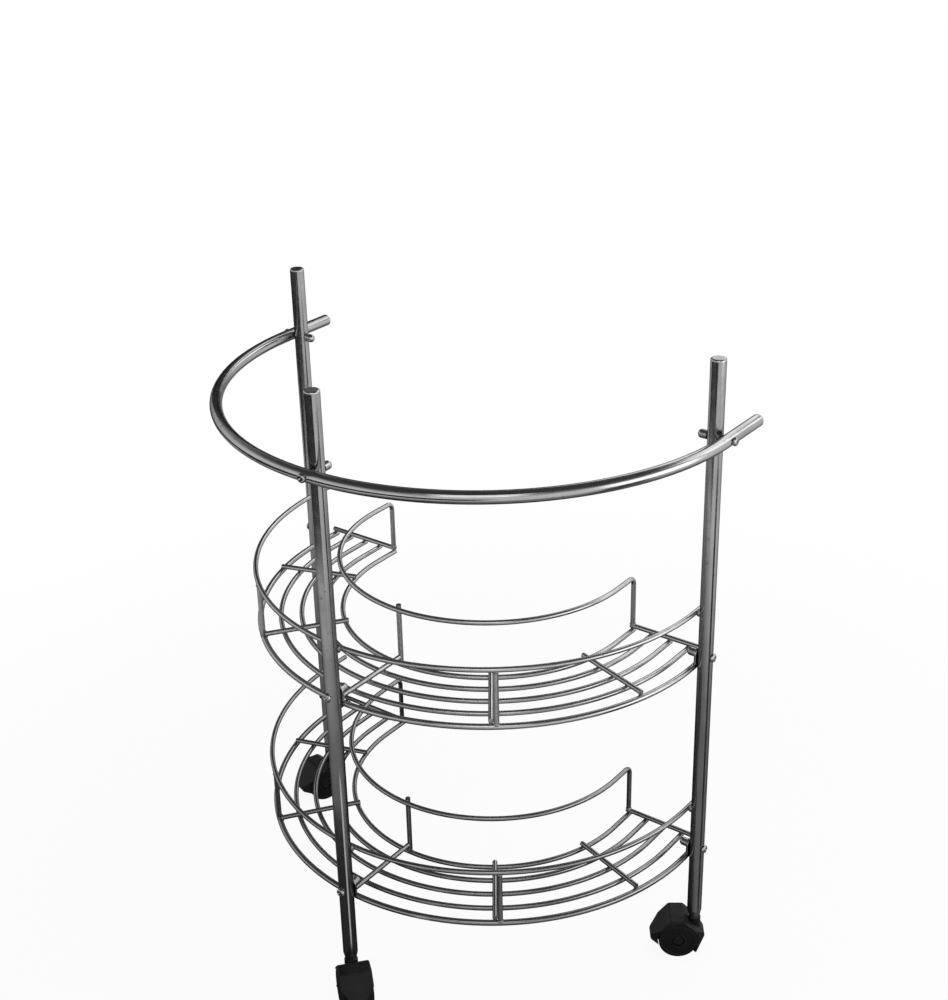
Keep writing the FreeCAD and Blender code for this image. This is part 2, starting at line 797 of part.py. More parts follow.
for item in doc.Objects:
    if {"Invalid", "Error"} & set(item.State):
        raise RuntimeError(f"{item.Label} failed: {item.State}")
for label, item in nodes.items():
    if item.Shape.isNull() or not item.Shape.isValid() or not item.Shape.Solids:
        raise RuntimeError(f"{label} has no valid solid")

os.makedirs("parts", exist_ok=True)
for label, item in nodes.items():
    item.Shape.exportStep(f"parts/{label}.step")
print(f"{len(nodes)} pieces, {sum(len(item.Shape.Solids) for item in nodes.values())} solids")
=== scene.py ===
import json
import math

import bmesh
import bpy
from mathutils import Matrix, Vector, noise


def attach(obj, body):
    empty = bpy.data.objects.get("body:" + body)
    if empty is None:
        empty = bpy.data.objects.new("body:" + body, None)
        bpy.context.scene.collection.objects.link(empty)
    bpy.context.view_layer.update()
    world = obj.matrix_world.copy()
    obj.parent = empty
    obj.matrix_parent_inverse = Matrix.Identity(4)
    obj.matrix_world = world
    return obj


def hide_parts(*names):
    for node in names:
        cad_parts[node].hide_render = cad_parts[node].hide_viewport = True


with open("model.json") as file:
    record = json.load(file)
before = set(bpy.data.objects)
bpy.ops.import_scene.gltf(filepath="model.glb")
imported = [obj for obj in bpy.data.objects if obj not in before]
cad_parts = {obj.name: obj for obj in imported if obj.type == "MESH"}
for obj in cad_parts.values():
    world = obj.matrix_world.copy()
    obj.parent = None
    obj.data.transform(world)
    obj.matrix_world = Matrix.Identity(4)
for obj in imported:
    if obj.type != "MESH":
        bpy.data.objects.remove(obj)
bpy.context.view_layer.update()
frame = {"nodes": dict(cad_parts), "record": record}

# Looks of a wheeled, half-round organiser: chromed tube legs and towel rail, welded wire shelves, and
# black moulded twin-wheel casters. Metres, in the frame of the part: floor at Z 0, front towards -Y.

scene = bpy.context.scene
nodes = frame["nodes"]

# Sizes repeated from the part

SHELF_LEVELS = {"lower_shelf": 0.109, "upper_shelf": 0.321}
RING_RADII = (0.146, 0.166, 0.186, 0.206, 0.226)
RIB_ANGLES = (-72, -36, 0, 36, 72)
POST_ANGLE = 36
RING_CROWN = 0.00285
RIB_RISE = 0.0053
RIB_CROWN = 0.00775
WIRE_RADIUS = 0.0024
END_BAR_SETBACK = 0.0276
GUARD_RISE = 0.057
POST_CIRCLE = 0.2262
POST_ASIDE = 0.0049
INNER_POST_TOUCH = 0.14355
LEG_CIRCLE = 0.2359
END_LEG_SETBACK = 0.006
LEG_RADIUS = 0.007
LUG_FACE = 0.0091
SCREW_RISE = 0.013
RAIL_LEVEL = 0.549
RAIL_OUTSIDE = 0.0186
NUT_DEPTH = 0.00675
SCREW_RADIUS = 0.002
HEAD_RADIUS = 0.0042
HEAD_HEIGHT = 0.0026
HEAD_ROUND = 0.00182

# Each leg's place and the way that it faces, outwards from the shelves
LEGS = {
    "front": (Vector((0, -LEG_CIRCLE, 0)), Vector((0, -1, 0))),
    "left": (Vector((-LEG_CIRCLE, END_LEG_SETBACK, 0)), Vector((-1, 0, 0))),
    "right": (Vector((LEG_CIRCLE, END_LEG_SETBACK, 0)), Vector((1, 0, 0))),
}
UP = Vector((0, 0, 1))

# Node helpers

FLOAT, COLOUR = "NodeSocketFloat", "NodeSocketColor"
WHITE = (1, 1, 1, 1)
COOL_TINT = 1.01


def add(tree, kind, inputs=None, **settings):
    """A node of that kind, with its settings made and its inputs given a value or wired to a socket."""
    made = tree.nodes.new(kind)
    for name, value in settings.items():
        setattr(made, name, value)
    for name, value in (inputs or {}).items():
        if isinstance(value, bpy.types.NodeSocket):
            tree.links.new(value, made.inputs[name])
        else:
            made.inputs[name].default_value = value
    return made


def calculate(tree, operation, first, second, third=0.0):
    return add(tree, "ShaderNodeMath", {0: first, 1: second, 2: third}, operation=operation).outputs[0]


def remap(tree, value, low, high, to_low=0.0, to_high=1.0, ease="LINEAR"):
    """A value taken from one range to another, held at its ends."""
    span = {"Value": value, "From Min": low, "From Max": high, "To Min": to_low, "To Max": to_high}
    return add(tree, "ShaderNodeMapRange", span, interpolation_type=ease).outputs["Result"]


def blend_colours(tree, share, first, second):
    return add(tree, "ShaderNodeMix", {0: share, 6: first, 7: second}, data_type="RGBA").outputs[2]


def object_place(tree):
    return add(tree, "ShaderNodeTexCoord").outputs["Object"]


def object_reach(tree):
    """How far a point lies from the middle of its object."""
    return add(tree, "ShaderNodeVectorMath", {0: object_place(tree)}, operation="LENGTH").outputs["Value"]


def noise_at(tree, place, scale, detail=2.0):
    look = {"Vector": place, "Scale": scale, "Detail": detail}
    return add(tree, "ShaderNodeTexNoise", look).outputs["Fac"]


def new_group(name, inputs, outputs):
    """An empty shader group with named sockets: its tree, its input node and its output node."""
    tree = bpy.data.node_groups.new(name, "ShaderNodeTree")
    for label, kind, value in inputs:
        socket = tree.interface.new_socket(label, in_out="INPUT", socket_type=kind)
        socket.default_value = value
    for label, kind in outputs:
        tree.interface.new_socket(label, in_out="OUTPUT", socket_type=kind)
    return tree, tree.nodes.new("NodeGroupInput"), tree.nodes.new("NodeGroupOutput")


def use_group(tree, group, **inputs):
    """A group placed in a material with its own values, an input's name written in small letters."""
    placed = tree.nodes.new("ShaderNodeGroup")
    placed.node_tree = group
    for name, value in inputs.items():
        placed.inputs[name.replace("_", " ").capitalize()].default_value = value
    return placed.outputs


def grey(level):
    return (level, level, level * COOL_TINT, 1.0)


# Shared surface effects


def make_tone_group():
    """Two tones that drift into each other over the surface, as on hand-wiped plating or moulded resin."""
    tree, given, result = new_group(
        "drifting tone",
        [
            ("Dark", COLOUR, grey(0.1)),
            ("Light", COLOUR, grey(0.2)),
            ("Scale", FLOAT, 20.0),
            ("Spread", FLOAT, 0.3),
        ],
        [("Color", COLOUR), ("Mask", FLOAT)],
    )
    cloud = noise_at(tree, object_place(tree), given.outputs["Scale"], detail=5.0)
    low = calculate(tree, "SUBTRACT", 0.5, given.outputs["Spread"])
    high = calculate(tree, "ADD", 0.5, given.outputs["Spread"])
    mask = remap(tree, cloud, low, high)
    tone = blend_colours(tree, mask, given.outputs["Dark"], given.outputs["Light"])
    tree.links.new(tone, result.inputs["Color"])
    tree.links.new(mask, result.inputs["Mask"])
    return tree


def make_grain_group():
    """A fine height for the skin of moulded or plated surfaces: a grain with a slow waviness under it."""
    tree, given, result = new_group(
        "skin grain",
        [("Grain scale", FLOAT, 900.0), ("Wave scale", FLOAT, 30.0), ("Wave share", FLOAT, 0.5)],
        [("Height", FLOAT)],
    )
    place = object_place(tree)
    fine = noise_at(tree, place, given.outputs["Grain scale"])
    slow = noise_at(tree, place, given.outputs["Wave scale"])
    mix = add(tree, "ShaderNodeMix", {0: given.outputs["Wave share"], 2: fine, 3: slow}, data_type="FLOAT")
    tree.links.new(mix.outputs[0], result.inputs["Height"])
    return tree


def make_drops_group():
    """Marks of dried water drops: a faint disc with a stronger rim, in some of the cells."""
    tree, given, result = new_group(
        "dried drops",
        [("Scale", FLOAT, 150.0), ("Share", FLOAT, 0.3)],
        [("Mask", FLOAT)],
    )
    spread = {"Vector": object_place(tree), "Scale": given.outputs["Scale"]}
    cells = add(tree, "ShaderNodeTexVoronoi", spread)
    away = cells.outputs["Distance"]
    disc = remap(tree, away, low=0.26, high=0.34, to_low=1.0, to_high=0.0, ease="SMOOTHSTEP")
    rim = remap(tree, away, low=0.16, high=0.27, to_low=0.35, to_high=1.0, ease="SMOOTHSTEP")
    chance = add(tree, "ShaderNodeSeparateColor", {0: cells.outputs["Color"]}).outputs["Red"]
    chosen = calculate(tree, "LESS_THAN", chance, given.outputs["Share"])
    mark = calculate(tree, "MULTIPLY", disc, rim)
    tree.links.new(calculate(tree, "MULTIPLY", mark, chosen), result.inputs["Mask"])
    return tree


def make_dust_group():
    """Dust that lies in patches on what faces up."""
    tree, given, result = new_group(
        "settled dust",
        [("Amount", FLOAT, 0.5), ("Scale", FLOAT, 60.0)],
        [("Mask", FLOAT)],
    )
    normal = add(tree, "ShaderNodeNewGeometry").outputs["Normal"]
    up = remap(tree, add(tree, "ShaderNodeSeparateXYZ", {0: normal}).outputs["Z"], low=0.25, high=0.95)
    cloud = noise_at(tree, object_place(tree), given.outputs["Scale"], detail=6.0)
    patches = remap(tree, cloud, low=0.38, high=0.7)
    lying = calculate(tree, "MULTIPLY", up, patches)
    tree.links.new(calculate(tree, "MULTIPLY", lying, given.outputs["Amount"]), result.inputs["Mask"])
    return tree


def make_rub_group():
    """Corners rubbed paler by knocks, broken up along their length."""
    tree, given, result = new_group(
        "rubbed corners",
        [("Amount", FLOAT, 0.5), ("Scale", FLOAT, 200.0)],
        [("Mask", FLOAT)],
    )
    pointed = add(tree, "ShaderNodeNewGeometry").outputs["Pointiness"]
    corner = remap(tree, pointed, low=0.52, high=0.6)
    cloud = noise_at(tree, object_place(tree), given.outputs["Scale"], detail=4.0)
    broken = remap(tree, cloud, low=0.4, high=0.65)
    rubbed = calculate(tree, "MULTIPLY", corner, broken)
    tree.links.new(calculate(tree, "MULTIPLY", rubbed, given.outputs["Amount"]), result.inputs["Mask"])
    return tree


drifting_tone = make_tone_group()
skin_grain = make_grain_group()
dried_drops = make_drops_group()
settled_dust = make_dust_group()
rubbed_corners = make_rub_group()

# Finishes

DROP_DULLING = 0.88
DROP_ROUGHNESS = 0.07
DUST_COLOUR = (0.11, 0.105, 0.095, 1.0)
DUST_ROUGHNESS = 0.3
RUBBED_COLOUR = grey(0.06)


def new_finish(name):
    finish = bpy.data.materials.new(name)
    finish.use_nodes = True
    finish.node_tree.nodes.clear()
    return finish, finish.node_tree


def show(tree, shader):
    out = add(tree, "ShaderNodeOutputMaterial")
    tree.links.new(shader.outputs[0], out.inputs["Surface"])


def run_direction(tree, run):
    """Which way a bar runs at each point: straight up, round the middle, or out from it."""
    if run == "upright":
        return add(tree, "ShaderNodeCombineXYZ", {"Z": 1.0}).outputs[0]
    place = add(tree, "ShaderNodeSeparateXYZ", {0: object_place(tree)}).outputs
    if run == "spoke":
        return add(tree, "ShaderNodeCombineXYZ", {"X": place["X"], "Y": place["Y"]}).outputs[0]
    back = calculate(tree, "MULTIPLY", place["Y"], -1.0)
    return add(tree, "ShaderNodeCombineXYZ", {"X": back, "Y": place["X"]}).outputs[0]


def plated(name, run, tones, gloss, wave, spots):
    """Polished plate drawn out along the bar: its tone and gloss drift a little, under dried water drops."""
    finish, tree = new_finish(name)
    dark, light = tones
    smooth, smeared = gloss
    tone = use_group(tree, drifting_tone, dark=grey(dark), light=grey(light), scale=34.0, spread=0.22)
    smear = use_group(tree, drifting_tone, scale=120.0, spread=0.3)
    drops = use_group(tree, dried_drops, scale=190.0, share=spots)["Mask"]
    roughness = remap(tree, smear["Mask"], 0.0, 1.0, smooth, smeared)
    skin = use_group(tree, skin_grain, grain_scale=700.0, wave_scale=45.0, wave_share=0.7)
    bump = add(tree, "ShaderNodeBump", {"Strength": wave, "Distance": 0.0004, "Height": skin["Height"]})
    shader = add(
        tree,
        "ShaderNodeBsdfPrincipled",
        {
            "Base Color": blend_colours(tree, drops, tone["Color"], grey(dark * DROP_DULLING)),
            "Metallic": 1.0,
            "Roughness": calculate(tree, "MULTIPLY_ADD", drops, DROP_ROUGHNESS, roughness),
            "Anisotropic": 0.9,
            "Specular Tint": grey(0.3),
            "Tangent": run_direction(tree, run),
            "Normal": bump.outputs["Normal"],
        },
    )
    show(tree, shader)
    return finish


def moulded(name, tones, sheen, grain, dusty, rubbed):
    """Black moulded resin: an uneven sheen and a spark-eroded grain, dust on top and rubbed corners."""
    finish, tree = new_finish(name)
    dark, light = tones
    smooth, rough = sheen
    tone = use_group(tree, drifting_tone, dark=grey(dark), light=grey(light), scale=90.0, spread=0.25)
    dust = use_group(tree, settled_dust, amount=dusty, scale=75.0)["Mask"]
    worn = use_group(tree, rubbed_corners, amount=rubbed, scale=260.0)["Mask"]
    roughness = remap(tree, tone["Mask"], 0.0, 1.0, smooth, rough)
    skin = use_group(tree, skin_grain, grain_scale=1600.0, wave_scale=120.0, wave_share=0.35)
    bump = add(tree, "ShaderNodeBump", {"Strength": grain, "Distance": 0.0003, "Height": skin["Height"]})
    rubbed_tone = blend_colours(tree, worn, tone["Color"], RUBBED_COLOUR)
    shader = add(
        tree,
        "ShaderNodeBsdfPrincipled",
        {
            "Base Color": blend_colours(tree, dust, rubbed_tone, DUST_COLOUR),
            "Roughness": calculate(tree, "MULTIPLY_ADD", dust, DUST_ROUGHNESS, roughness),
            "Specular IOR Level": 0.2,
            "Normal": bump.outputs["Normal"],
        },
    )
    show(tree, shader)
    return finish


finishes = {
    # The leg tubes get a darker plate colour than the rail tube, though both are the same chrome: painted
    # shade
    "upright_tube": plated(
        "chromed leg tube", "upright", tones=(0.31, 0.39), gloss=(0.09, 0.15), wave=0.02, spots=0.14
    ),
    "hoop_tube": plated(
        "chromed rail tube", "hoop", tones=(0.38, 0.46), gloss=(0.1, 0.17), wave=0.02, spots=0.14
    ),
    "chromed_fastener": plated(
        "chromed fastener", "hoop", tones=(0.36, 0.46), gloss=(0.16, 0.26), wave=0.03, spots=0.1
    ),
    "weld": plated(
        "plated weld", "hoop", tones=(0.22, 0.32), gloss=(0.28, 0.4), wave=0.12, spots=0.1
    ),
    "stem_steel": plated(
        "turned stem steel", "hoop", tones=(0.18, 0.26), gloss=(0.3, 0.4), wave=0.05, spots=0.1
    ),
    "rail_plug": plated(
        "metallised rail plug", "hoop", tones=(0.4, 0.5), gloss=(0.24, 0.34), wave=0.03, spots=0.1
    ),
    "leg_plug": plated(
        "metallised leg plug", "hoop", tones=(0.4, 0.5), gloss=(0.2, 0.3), wave=0.03, spots=0.1
    ),
    "socket_bush": plated(
        "plated socket bush", "upright", tones=(0.22, 0.3), gloss=(0.2, 0.3), wave=0.03, spots=0.1
    ),
    "caster_hood": moulded(
        "black caster hood", tones=(0.005, 0.008), sheen=(0.42, 0.6), grain=0.25, dusty=0.06, rubbed=0.4
    ),
    "axle_cap": moulded(
        "black axle cap", tones=(0.007, 0.011), sheen=(0.4, 0.55), grain=0.2, dusty=0.1, rubbed=0.5
    ),
    "caster_wheel": moulded(
        "black caster wheel", tones=(0.005, 0.008), sheen=(0.45, 0.62), grain=0.25, dusty=0.1, rubbed=0.6
    ),
}

# The lower shelf's wires get a darker plate colour than the upper's: painted shade, for the light that falls
# off low down
WIRE_TONES_WITH_PAINTED_SHADE = {"lower": (0.26, 0.34), "upper": (0.42, 0.5)}
for shelf, tones in WIRE_TONES_WITH_PAINTED_SHADE.items():
    for run in ("upright", "hoop", "spoke"):
        title = "chromed " + run + " wire, " + shelf
        finishes[shelf + "_" + run] = plated(title, run, tones, gloss=(0.15, 0.22), wave=0.02, spots=0.15)
slots = {entry["node"]: entry["material_slot"] for entry in frame["record"]["subparts"]}


def bar_run(name):
    """Which way the bars of a node run, from its name."""
    if name.startswith("leg") or "post" in name:
        return "upright"
    if "ribs" in name or "end_bars" in name or "lugs" in name:
        return "spoke"
    return "hoop"


for name, item in nodes.items():
    slot = slots[name]
    if slot == "chromed_tube":
        slot = bar_run(name) + "_tube"
    if slot == "chromed_wire":
        slot = name.split("_")[0] + "_" + bar_run(name)
    item.data.materials.clear()
    item.data.materials.append(finishes[slot])

# Eased edges on sawn wires, pressed lugs and moulded casters

EASED = {
    "ribs": 0.0006,
    "end_bars": 0.0006,
    "inner_post": 0.0006,
    "lugs": 0.0005,
    "hood": 0.0005,
    "wheel_left": 0.0003,
    "wheel_right": 0.0003,
    "axle_caps": 0.0002,
}
EASING_STEPS = 3
EASED_ABOVE = math.radians(35)
JOINED_WITHIN = 2e-6


def make_joining_group():
    """Joins a node's faces along their edges, so that its corners can be eased and shaded afresh."""
    tree = bpy.data.node_groups.new("joined faces", "GeometryNodeTree")
    tree.interface.new_socket("Geometry", in_out="INPUT", socket_type="NodeSocketGeometry")
    tree.interface.new_socket("Geometry", in_out="OUTPUT", socket_type="NodeSocketGeometry")
    faces = tree.nodes.new("NodeGroupInput").outputs[0]
    joining = {"Geometry": faces, "Distance": JOINED_WITHIN}
    faces = add(tree, "GeometryNodeMergeByDistance", joining).outputs[0]
    freshening = {"Geometry": faces, "Name": "custom_normal"}
    faces = add(tree, "GeometryNodeRemoveAttribute", freshening).outputs[0]
    faces = add(tree, "GeometryNodeSetShadeSmooth", {0: faces, "Shade Smooth": True}).outputs[0]
    result = tree.nodes.new("NodeGroupOutput")
    tree.links.new(faces, result.inputs[0])
    return tree


def ease_edges(item, width):
    item.modifiers.new("joined faces", "NODES").node_group = joined_faces
    easing = item.modifiers.new("eased edges", "BEVEL")
    easing.width = width
    easing.segments = EASING_STEPS
    easing.limit_method = "ANGLE"
    easing.angle_limit = EASED_ABOVE
    shading = item.modifiers.new("even shading", "WEIGHTED_NORMAL")
    shading.keep_sharp = True


joined_faces = make_joining_group()
for name, item in nodes.items():
    for ending, width in EASED.items():
        if name.endswith(ending):
            ease_edges(item, width)

# Making of new pieces

SHARP_ABOVE = math.radians(40)
LUMP_SCALE = 900


def mesh_from(name, shell):
    """A mesh from a shell of faces, all turned outwards. The shell is let go."""
    mesh = bpy.data.meshes.new(name)
    bmesh.ops.recalc_face_normals(shell, faces=shell.faces[:])
    shell.to_mesh(mesh)
    shell.free()
    return mesh


def put_in_scene(name, content):
    item = bpy.data.objects.new(name, content)
    scene.collection.objects.link(item)
    return item


def new_piece(name, shell, finish, body):
    """A finished piece from a shell of faces, smooth but for its sharp corners, riding on a body."""
    mesh = mesh_from(name, shell)
    for face in mesh.polygons:
        face.use_smooth = True
    mesh.set_sharp_from_angle(angle=SHARP_ABOVE)
    mesh.materials.append(finish)
    piece = put_in_scene(name, mesh)
    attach(piece, body)
    return piece


def axes_at(spot, way):
    """The axes of a form that stands at a spot with its Z along a way."""
    return Matrix.Translation(spot) @ Vector(way).to_track_quat("Z", "Y").to_matrix().to_4x4()


def join_rows(shell, rows):
    """Faces between each closed row of corners and the next."""
    for low, high in zip(rows, rows[1:]):
        for step in range(len(low)):
            after = (step + 1) % len(low)
            shell.faces.new((low[step], low[after], high[after], high[step]))


def turn_profile(shell, profile, axes, steps, lumps=0.0):
    """Faces turned about Z of some axes from (radius, height) steps, closed at both ends, maybe lumpy."""
    rows = []
    for radius, height in profile:
        row = []
        for step in range(steps):
            angle = 2 * math.pi * step / steps
            spot = axes @ Vector((radius * math.cos(angle), radius * math.sin(angle), height))
            swollen = radius * (1 + lumps * noise.noise(spot * LUMP_SCALE))
            spot = axes @ Vector((swollen * math.cos(angle), swollen * math.sin(angle), height))
            row.append(shell.verts.new(spot))
        rows.append(row)
    join_rows(shell, rows)
    shell.faces.new(rows[0][::-1])
    shell.faces.new(rows[-1])


# Welds

# A spool between two wires that cross, and how far it lies inside a rib's end or a post
SPOOL = ((0.0021, -0.00105), (0.00172, -0.00045), (0.0016, 0.0), (0.00172, 0.00045), (0.0021, 0.00105))
RIB_END_INSET = 0.0014
POST_FOOT_INSET = 0.0018

# A collar round the foot of a wire
COLLAR = ((0.0028, -0.0012), (0.0031, -0.0006), (0.0029, 0.0001), (0.00255, 0.0006), (0.0023, 0.001))

# A nugget in the corner between a guard wire and a leg
NUGGET = (
    (0.001, -0.003),
    (0.0019, -0.0022),
    (0.0024, -0.0008),
    (0.0024, 0.0008),
    (0.0019, 0.0022),
    (0.001, 0.003),
)
NUGGET_INSET = 0.006
NUGGET_ASIDE = 0.0047

# A seam of overlapping beads along the foot of a lug
SEAM_HALF = 0.0052
SEAM_RADIUS = 0.0011
SEAM_BEADS = 5
SEAM_INSET = 0.0003
STEPS_PER_BEAD = 4
BEAD_VALLEY = 0.9
BEAD_RISE = 0.14
SEAM_BLUNTNESS = 6
SEAM_TIP = 0.06

WELD_STEPS = 14
SEAM_STEPS = 10
WELD_LUMPS = 0.12


def seam_profile():
    count = SEAM_BEADS * STEPS_PER_BEAD
    steps = []
    for step in range(count + 1):
        along = step / count
        ripple = BEAD_VALLEY + BEAD_RISE * abs(math.sin(math.pi * SEAM_BEADS * along))
        taper = math.sqrt(max(SEAM_TIP, 1 - (2 * along - 1) ** SEAM_BLUNTNESS))
        steps.append((SEAM_RADIUS * ripple * taper, SEAM_HALF * (2 * along - 1)))
    return steps


def make_welds(shelf, level):
    """Weld metal where two wires of a shelf meet, along each lug's foot, and where a guard meets a leg."""
    shell = bmesh.new()

    def weld(spot, profile, way, steps=WELD_STEPS):
        turn_profile(shell, profile, axes_at(spot, way), steps, WELD_LUMPS)

    lift = UP * level
    crown = UP * RING_CROWN
    for angle in RIB_ANGLES:
        out = Vector((math.sin(math.radians(angle)), -math.cos(math.radians(angle)), 0))
        for radius in RING_RADII[:-1]:
            weld(out * radius + lift + crown, SPOOL, UP)
        weld(out * (RING_RADII[-1] - RIB_END_INSET) + lift + crown, SPOOL, UP)
    for side in (-1, 1):
        for radius in RING_RADII:
            weld(Vector((side * radius, END_BAR_SETBACK, 0)) + lift + crown, SPOOL, UP)
        weld(Vector((side * RING_RADII[0], END_BAR_SETBACK, RIB_CROWN)) + lift, COLLAR, UP)
        turned = math.radians(POST_ANGLE) * side
        out = Vector((math.sin(turned), -math.cos(turned), 0))
        aside = Vector((math.cos(turned), math.sin(turned), 0)) * side
        post = out * POST_CIRCLE + aside * POST_ASIDE + lift
        weld(post + crown, COLLAR, UP)
        weld(post + UP * (GUARD_RISE - WIRE_RADIUS), COLLAR, -UP)
        rib_side = out * (POST_CIRCLE - POST_FOOT_INSET) + aside * POST_ASIDE / 2 + lift + UP * RIB_RISE
        weld(rib_side, SPOOL, aside)
    for height in (RING_CROWN - WIRE_RADIUS, GUARD_RISE):
        weld(Vector((0, -INNER_POST_TOUCH, height)) + lift, SPOOL, (0, 1, 0))
    for place, out in LEGS.values():
        seam = place - out * (LUG_FACE + SEAM_INSET) + lift + crown
        along = out.cross(UP)
        weld(seam, seam_profile(), along, SEAM_STEPS)
        corner = place - out * NUGGET_INSET + lift + UP * GUARD_RISE
        for side in (-1, 1):
            weld(corner + along * NUGGET_ASIDE * side, NUGGET, UP)
    new_piece(shelf + "_welds", shell, finishes["weld"], "frame")


# Struck screws

TIP_CHAMFER = 0.0003
TIP_LENGTH = 0.0004
HEAD_CHAMFER = 0.0003
ROUND_STEPS = 6
SCREW_STEPS = 40
RECESS_DEPTH = 0.0015
RECESS_REACH = 0.0021
RECESS_WIDTH = 0.0006
FIRST_TURN = 0.5

# How wide the punch is above the head, level with its top, and at the bottom of the recess
PUNCH_TAPER = (1.6, 1.0, 0.45)


def screw_blank(length):
    """A pan-head screw, tip at Z 0, before its recess is struck."""
    top = length + HEAD_HEIGHT
    profile = [
        (SCREW_RADIUS - TIP_CHAMFER, 0),
        (SCREW_RADIUS, TIP_LENGTH),
        (SCREW_RADIUS, length),
        (HEAD_RADIUS - HEAD_CHAMFER, length),
        (HEAD_RADIUS, length + HEAD_CHAMFER),
    ]
    for step in range(ROUND_STEPS + 1):
        angle = math.pi / 2 * step / ROUND_STEPS
        radius = HEAD_RADIUS - HEAD_ROUND * (1 - math.cos(angle))
        profile.append((radius, top - HEAD_ROUND * (1 - math.sin(angle))))
    shell = bmesh.new()
    turn_profile(shell, profile, Matrix(), SCREW_STEPS)
    return shell


def cross_punch(top):
    """The tapered cross that strikes a screw head's recess."""
    shell = bmesh.new()
    rows = []
    for height, share in zip((top + RECESS_DEPTH, top, top - RECESS_DEPTH), PUNCH_TAPER):
        reach = RECESS_REACH * share
        half = RECESS_WIDTH * (0.5 + 0.5 * share)
        corner = [(reach, -half), (reach, half), (half, half)]
        row = []
        for quarter in range(4):
            turn = Matrix.Rotation(math.pi / 2 * quarter, 2)
            for across, up in corner:
                spot = turn @ Vector((across, up))
                row.append(shell.verts.new((spot.x, spot.y, height)))
        rows.append(row)
    join_rows(shell, rows)
    shell.faces.new(rows[0])
    shell.faces.new(rows[-1][::-1])
    return shell


def struck_screw(length):
    """The mesh of a screw with a cross recess in its head."""
    blank = put_in_scene("screw_blank", mesh_from("screw_blank", screw_blank(length)))
    punch = put_in_scene("cross_punch", mesh_from("cross_punch", cross_punch(length + HEAD_HEIGHT)))
    strike = blank.modifiers.new("strike", "BOOLEAN")
    strike.operation = "DIFFERENCE"
    strike.solver = "EXACT"
    strike.object = punch
    ready = blank.evaluated_get(bpy.context.evaluated_depsgraph_get())
    mesh = bpy.data.meshes.new_from_object(ready)
    for item in (blank, punch):
        bpy.data.objects.remove(item)
    return mesh


def make_screws(prefix, out, back, level):
    """The three screws of a shelf or the rail, each in from outside its leg and ending in its dome nut."""
    length = out + back + NUT_DEPTH
    mesh = struck_screw(length)
    shell = bmesh.new()
    for count, (place, facing) in enumerate(LEGS.values()):
        tip = place + facing * (out - length) + UP * level
        single = mesh.copy()
        single.transform(axes_at(tip, facing) @ Matrix.Rotation(FIRST_TURN + count, 4, "Z"))
        shell.from_mesh(single)
        bpy.data.meshes.remove(single)
    bpy.data.meshes.remove(mesh)
    slot = "chromed_fastener"
    piece = new_piece(prefix + "_struck_screws", shell, finishes[slot], "frame")
    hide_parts(prefix + "_screws")


for shelf, level in SHELF_LEVELS.items():
    make_welds(shelf, level)
    make_screws(shelf, LEG_RADIUS, LUG_FACE, level + SCREW_RISE)
make_screws("towel_rail", RAIL_OUTSIDE, LEG_RADIUS, RAIL_LEVEL)

# Studio: a floor that stays white to the eye and in the metal, cards for the metal to mirror, lamps, camera

FLOOR_SIZE = 40.0
CARD_STEPS = 32
CAMERA_PLACE = (0.8303, -1.1186, 1.0823)
CAMERA_HEADING = math.radians(37.18)
CAMERA_DIP = math.radians(25.07)
CAMERA_ROLL = math.radians(-1.41)
SENSOR_WIDTH = 36.0
FOCAL_LENGTH = 57.83


def seen_directly(tree):
    """One where the eye, or the eye in a mirror or through glass, meets the surface."""
    path = add(tree, "ShaderNodeLightPath").outputs
    mirror = calculate(tree, "MAXIMUM", path["Is Camera Ray"], path["Is Glossy Ray"])
    return calculate(tree, "MAXIMUM", mirror, path["Is Transmission Ray"])


def make_floor():
    """A white floor that takes the object's shadow, fading to plain white away from it."""
    bpy.ops.mesh.primitive_plane_add(size=FLOOR_SIZE, location=(0, 0, 0))
    floor = bpy.context.object
    floor.name = "studio_floor"
    finish, tree = new_finish("pale studio floor")
    matt = add(tree, "ShaderNodeBsdfDiffuse", {"Color": grey(0.86)})
    glow = add(tree, "ShaderNodeEmission", {"Color": WHITE, "Strength": 1.0})
    plain = remap(tree, object_reach(tree), low=0.35, high=1.1, to_low=0.92, to_high=1.0, ease="SMOOTHSTEP")
    share = calculate(tree, "MULTIPLY", seen_directly(tree), plain)
    show(tree, add(tree, "ShaderNodeMixShader", {0: share, 1: matt.outputs[0], 2: glow.outputs[0]}))
    floor.data.materials.append(finish)


def hang_card(name, shell, finish):
    """A card that only the chrome sees."""
    card = put_in_scene(name, mesh_from(name, shell))
    card.data.materials.append(finish)
    card.visible_camera = False
    card.visible_diffuse = False
    card.visible_shadow = False


def make_floor_card(name, finish, middle, turn, reach, lift):
    """A card just over the floor: part of a ring about a middle, between two angles in degrees."""
    shell = bmesh.new()
    first, last = turn
    rows = []
    for step in range(CARD_STEPS + 1):
        angle = math.radians(first + (last - first) * step / CARD_STEPS)
        way = Vector((math.cos(angle), math.sin(angle), 0))
        rows.append([shell.verts.new(middle + way * radius + UP * lift) for radius in reach])
    for low, high in zip(rows, rows[1:]):
        shell.faces.new((low[0], low[1], high[1], high[0]))
    hang_card(name, shell, finish)


def make_upright_card(name, finish, foot, facing, width, height):
    """A card held upright over the middle of its foot."""
    shell = bmesh.new()
    foot = Vector(foot)
    across = Vector(facing).cross(UP) * width / 2
    rise = UP * height
    corners = (foot - across, foot + across, foot + (across + rise), foot + (rise - across))
    shell.faces.new([shell.verts.new(corner) for corner in corners])
    hang_card(name, shell, finish)


def plain_card_finish(name, level):
    finish, tree = new_finish(name)
    show(tree, add(tree, "ShaderNodeEmission", {"Color": WHITE, "Strength": level}))
    return finish


